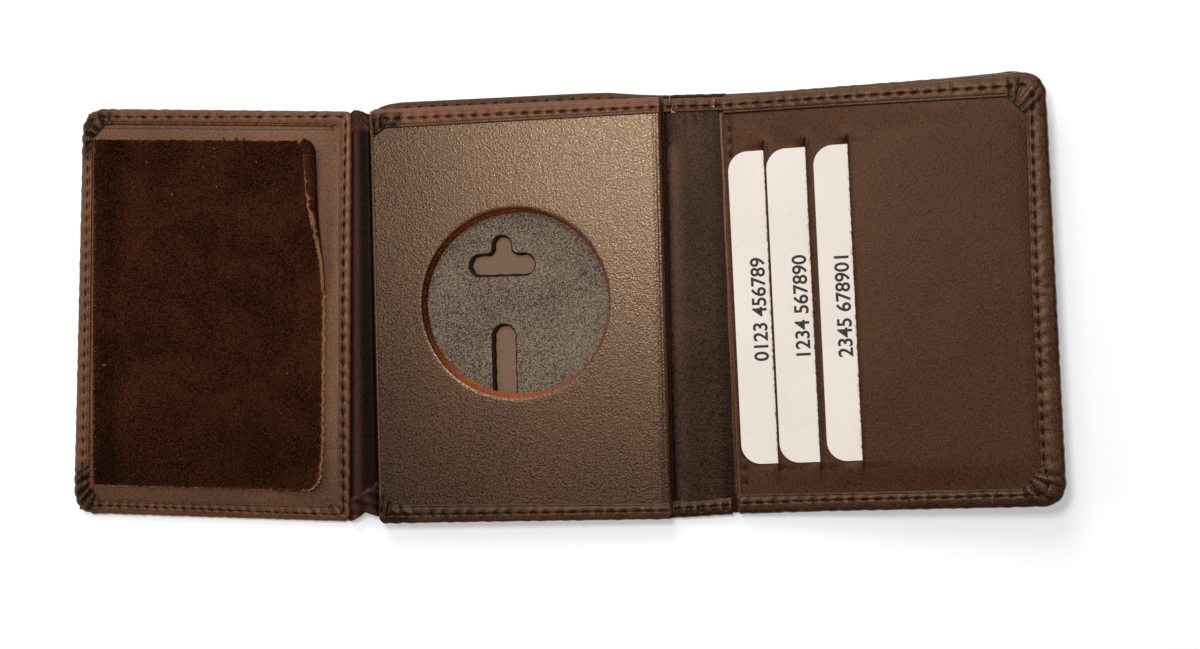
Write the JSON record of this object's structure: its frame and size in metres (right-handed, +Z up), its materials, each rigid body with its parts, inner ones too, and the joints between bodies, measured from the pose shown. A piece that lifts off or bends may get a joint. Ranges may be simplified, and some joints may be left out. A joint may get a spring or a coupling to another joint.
{
  "type": "id badge wallet",
  "caption": "Leather wallet lying open: identity card flap, badge panel with a round cut-out, spine and card panel with slit pockets and blank cards.",
  "frame": {"origin": "On the table, under the middle of the badge panel.", "axes": "+X from the ID flap to the card panel, +Y from the bottom edge to the top edge with the bill pocket's mouth, +Z up out of the open wallet."},
  "size_m": [0.2766, 0.1188, 0.0123],
  "materials": {
    "shell_leather": "dark brown smooth leather, soft sheen",
    "edge_leather": "dark brown turned edge, soft sheen",
    "panel_leather": "brown fine-grained leather, satin",
    "liner_leather": "dark brown thin smooth leather",
    "floor_leather": "pinkish brown smooth leather",
    "suede": "dark brown suede, matt",
    "board": "rust brown raw fibre board",
    "backing_board": "grey black fine-grained board, matt",
    "lining_cloth": "thin black lining",
    "clear_plastic": "clear film",
    "card_paper": "off-white card stock, matt"
  },
  "bodies": {
    "badge_panel": {"shell_back": "shell_leather", "badge_liner": "liner_leather", "badge_floor": "floor_leather", "badge_board": "board", "badge_skin": "panel_leather", "badge_top_edge": "edge_leather", "badge_backing": "backing_board"},
    "spine": {"shell_spine": "shell_leather", "spine_liner": "liner_leather", "spine_top_edge": "edge_leather"},
    "card_panel": {"shell_front": "shell_leather", "card_liner": "liner_leather", "card_face": "panel_leather", "card_top_edge": "edge_leather", "card_lining_1": "lining_cloth", "card_lining_2": "lining_cloth", "card_lining_3": "lining_cloth"},
    "card_1": {"card_1": "card_paper"},
    "card_2": {"card_2": "card_paper"},
    "card_3": {"card_3": "card_paper"},
    "valley": {"hinge_strip": "liner_leather"},
    "id_flap": {"flap_cover": "shell_leather", "id_window": "clear_plastic", "flap_field": "panel_leather"},
    "suede": {"suede_page": "suede"}
  },
  "joints": [
    {"name": "spine_fold", "type": "hinge", "parent": "badge_panel", "child": "spine", "pos_m": [0.0409, 0, 0.0027], "axis": [0, -1, 0], "range_deg": [-2.5, 87.5]},
    {"name": "card_panel_fold", "type": "hinge", "parent": "spine", "child": "card_panel", "pos_m": [0.05753, 0, 0.00357], "axis": [0, -1, 0], "range_deg": [-2.5, 87.5]},
    {"name": "card_1_slide", "type": "slide", "parent": "card_panel", "child": "card_1", "axis": [0.9968, 0.0209, 0.0769], "range_m": [-0.0175, 0]},
    {"name": "card_2_slide", "type": "slide", "parent": "card_panel", "child": "card_2", "axis": [0.9979, 0.0209, 0.0616], "range_m": [-0.028, 0]},
    {"name": "card_3_slide", "type": "slide", "parent": "card_panel", "child": "card_3", "axis": [0.9987, 0.0209, 0.0457], "range_m": [-0.041, 0]},
    {"name": "strip_fold", "type": "hinge", "parent": "badge_panel", "child": "valley", "pos_m": [-0.04135, 0, 0.0037], "axis": [0, 1, 0], "range_deg": [0, 101.1]},
    {"name": "flap_fold", "type": "hinge", "parent": "valley", "child": "id_flap", "pos_m": [-0.04795, 0, 0.0024], "axis": [0, 1, 0], "range_deg": [0, 79]},
    {"name": "suede_lift", "type": "hinge", "parent": "id_flap", "child": "suede", "pos_m": [-0.1219, 0.00333, 0.00248], "axis": [0.0454, 0.999, 0], "range_deg": [-120, 0]}
  ],
  "couplings": [
    {"joint": "card_panel_fold", "follows": "spine_fold", "ratio": 1},
    {"joint": "flap_fold", "follows": "strip_fold", "ratio": 0.78042}
  ]
}
